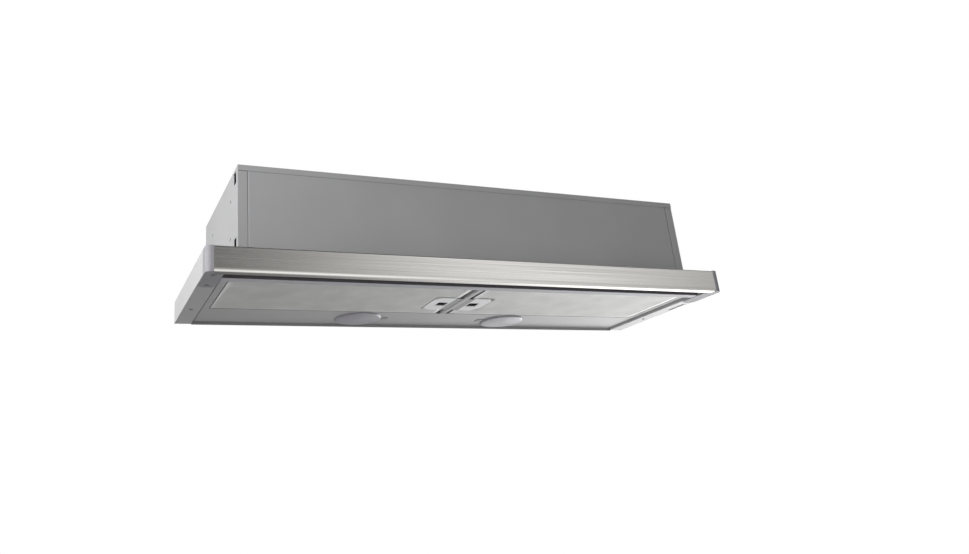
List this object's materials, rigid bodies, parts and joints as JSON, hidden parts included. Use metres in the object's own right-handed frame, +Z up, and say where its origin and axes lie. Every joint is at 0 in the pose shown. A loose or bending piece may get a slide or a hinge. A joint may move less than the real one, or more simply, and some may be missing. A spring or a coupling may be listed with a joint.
{
  "type": "pull out range hood",
  "caption": "Built-in range hood with a flat casing and a pull out front section, two hinged grease filters, round lamps, a double inlet blower and a flapped duct collar.",
  "frame": {"origin": "middle of the closed hood's footprint, at the height of its lowest faces", "axes": "+X along the width to the right seen from the front, +Y from the fascia to the wall, +Z up to the duct collar"},
  "size_m": [0.898, 0.3, 0.21],
  "materials": {
    "casing_sheet": "satin grey paint on steel sheet",
    "base_sheet": "satin grey paint on steel sheet",
    "stainless": "brushed along the width",
    "cap_plastic": "fine moulded grain",
    "grip_plastic": "grey below, black inside the recess",
    "zinc_steel": "zinc plated",
    "screw_steel": "dull plated",
    "nylon": "natural nylon",
    "filter_aluminium": "satin, perforated",
    "latch_plate": "light grey",
    "black_plastic": "fine grain",
    "knob_plastic": "silver painted",
    "board": "circuit board",
    "lamp_glass": "frosted",
    "bulb_glass": "opal",
    "housing_plastic": "moulded",
    "motor_paint": "black paint",
    "pale_plastic": "moulded"
  },
  "bodies": {
    "casing": {"top_cover": "casing_sheet", "side_panel_left": "casing_sheet", "side_panel_right": "casing_sheet", "front_panel": "casing_sheet", "rear_panel": "casing_sheet", "underside_panel": "base_sheet", "runner_bracket_left": "base_sheet", "runner_bracket_right": "base_sheet", "cabinet_slide_left": "zinc_steel", "cabinet_slide_right": "zinc_steel", "centre_bar": "base_sheet", "filter_hooks": "base_sheet", "lamp_lens_left": "lamp_glass", "lamp_lens_right": "lamp_glass", "lens_clips": "latch_plate", "lamp_holders": "base_sheet", "lamp_bulbs": "bulb_glass", "volute_left": "housing_plastic", "volute_right": "housing_plastic", "motor_body": "motor_paint", "motor_bracket": "base_sheet", "outlet_collar": "black_plastic", "flap_pin": "zinc_steel", "capacitor": "pale_plastic", "electronics_box": "pale_plastic", "cable_gland": "black_plastic", "microswitch": "black_plastic", "casing_screws": "screw_steel"},
    "drawer": {"fascia": "stainless", "end_cap_left": "cap_plastic", "end_cap_right": "cap_plastic", "grip_rail": "grip_plastic", "side_rail_left": "base_sheet", "side_rail_right": "base_sheet", "visor_plate": "base_sheet", "visor_glides": "nylon", "drawer_slide_left": "zinc_steel", "drawer_slide_right": "zinc_steel", "slide_spacers": "zinc_steel", "control_bezel": "black_plastic", "switch_board": "board", "drawer_screws": "screw_steel"},
    "slide_left": {"slide_middle_left": "zinc_steel", "slide_glides_left": "nylon"},
    "slide_right": {"slide_middle_right": "zinc_steel", "slide_glides_right": "nylon"},
    "rotor": {"impeller": "housing_plastic", "motor_shaft": "zinc_steel"},
    "front_flap": {"flap_front": "black_plastic"},
    "rear_flap": {"flap_rear": "black_plastic"},
    "filter_left": {"filter_frame_left": "filter_aluminium", "filter_mesh_left": "filter_aluminium", "filter_latch_left": "latch_plate"},
    "filter_right": {"filter_frame_right": "filter_aluminium", "filter_mesh_right": "filter_aluminium", "filter_latch_right": "latch_plate"},
    "latch_left": {"latch_slider_left": "black_plastic"},
    "latch_right": {"latch_slider_right": "black_plastic"},
    "speed_slider": {"speed_knob": "knob_plastic"},
    "light_slider": {"light_knob": "knob_plastic"}
  },
  "joints": [
    {"name": "drawer_slide", "type": "slide", "parent": "casing", "child": "drawer", "axis": [0, -1, 0], "range_m": [0, 0.16]},
    {"name": "left_middle_slide", "type": "slide", "parent": "casing", "child": "slide_left", "axis": [0, -1, 0], "range_m": [0, 0.08]},
    {"name": "right_middle_slide", "type": "slide", "parent": "casing", "child": "slide_right", "axis": [0, -1, 0], "range_m": [0, 0.08]},
    {"name": "impeller_spin", "type": "hinge", "parent": "casing", "child": "rotor", "pos_m": [0, 0.022, 0.104], "axis": [1, 0, 0], "continuous": true},
    {"name": "front_flap_swing", "type": "hinge", "parent": "casing", "child": "front_flap", "pos_m": [0, 0.06007, 0.182], "axis": [-1, 0, 0], "range_deg": [0, 80]},
    {"name": "rear_flap_swing", "type": "hinge", "parent": "casing", "child": "rear_flap", "pos_m": [0, 0.06007, 0.182], "axis": [1, 0, 0], "range_deg": [0, 80]},
    {"name": "left_filter_swing", "type": "hinge", "parent": "casing", "child": "filter_left", "pos_m": [-0.402, -0.014, 0.0106], "axis": [0, 1, 0], "range_deg": [0, 75]},
    {"name": "right_filter_swing", "type": "hinge", "parent": "casing", "child": "filter_right", "pos_m": [0.402, -0.014, 0.0106], "axis": [0, -1, 0], "range_deg": [0, 75]},
    {"name": "left_latch_slide", "type": "slide", "parent": "filter_left", "child": "latch_left", "axis": [-1, 0, 0], "range_m": [0, 0.005], "stiffness_N_per_m": 200, "springref_m": -0.002},
    {"name": "right_latch_slide", "type": "slide", "parent": "filter_right", "child": "latch_right", "axis": [1, 0, 0], "range_m": [0, 0.005], "stiffness_N_per_m": 200, "springref_m": -0.002},
    {"name": "speed_slide", "type": "slide", "parent": "drawer", "child": "speed_slider", "axis": [1, 0, 0], "range_m": [0, 0.036]},
    {"name": "light_slide", "type": "slide", "parent": "drawer", "child": "light_slider", "axis": [1, 0, 0], "range_m": [0, 0.012]}
  ],
  "couplings": [
    {"joint": "left_middle_slide", "follows": "drawer_slide", "ratio": 0.5},
    {"joint": "right_middle_slide", "follows": "drawer_slide", "ratio": 0.5}
  ]
}
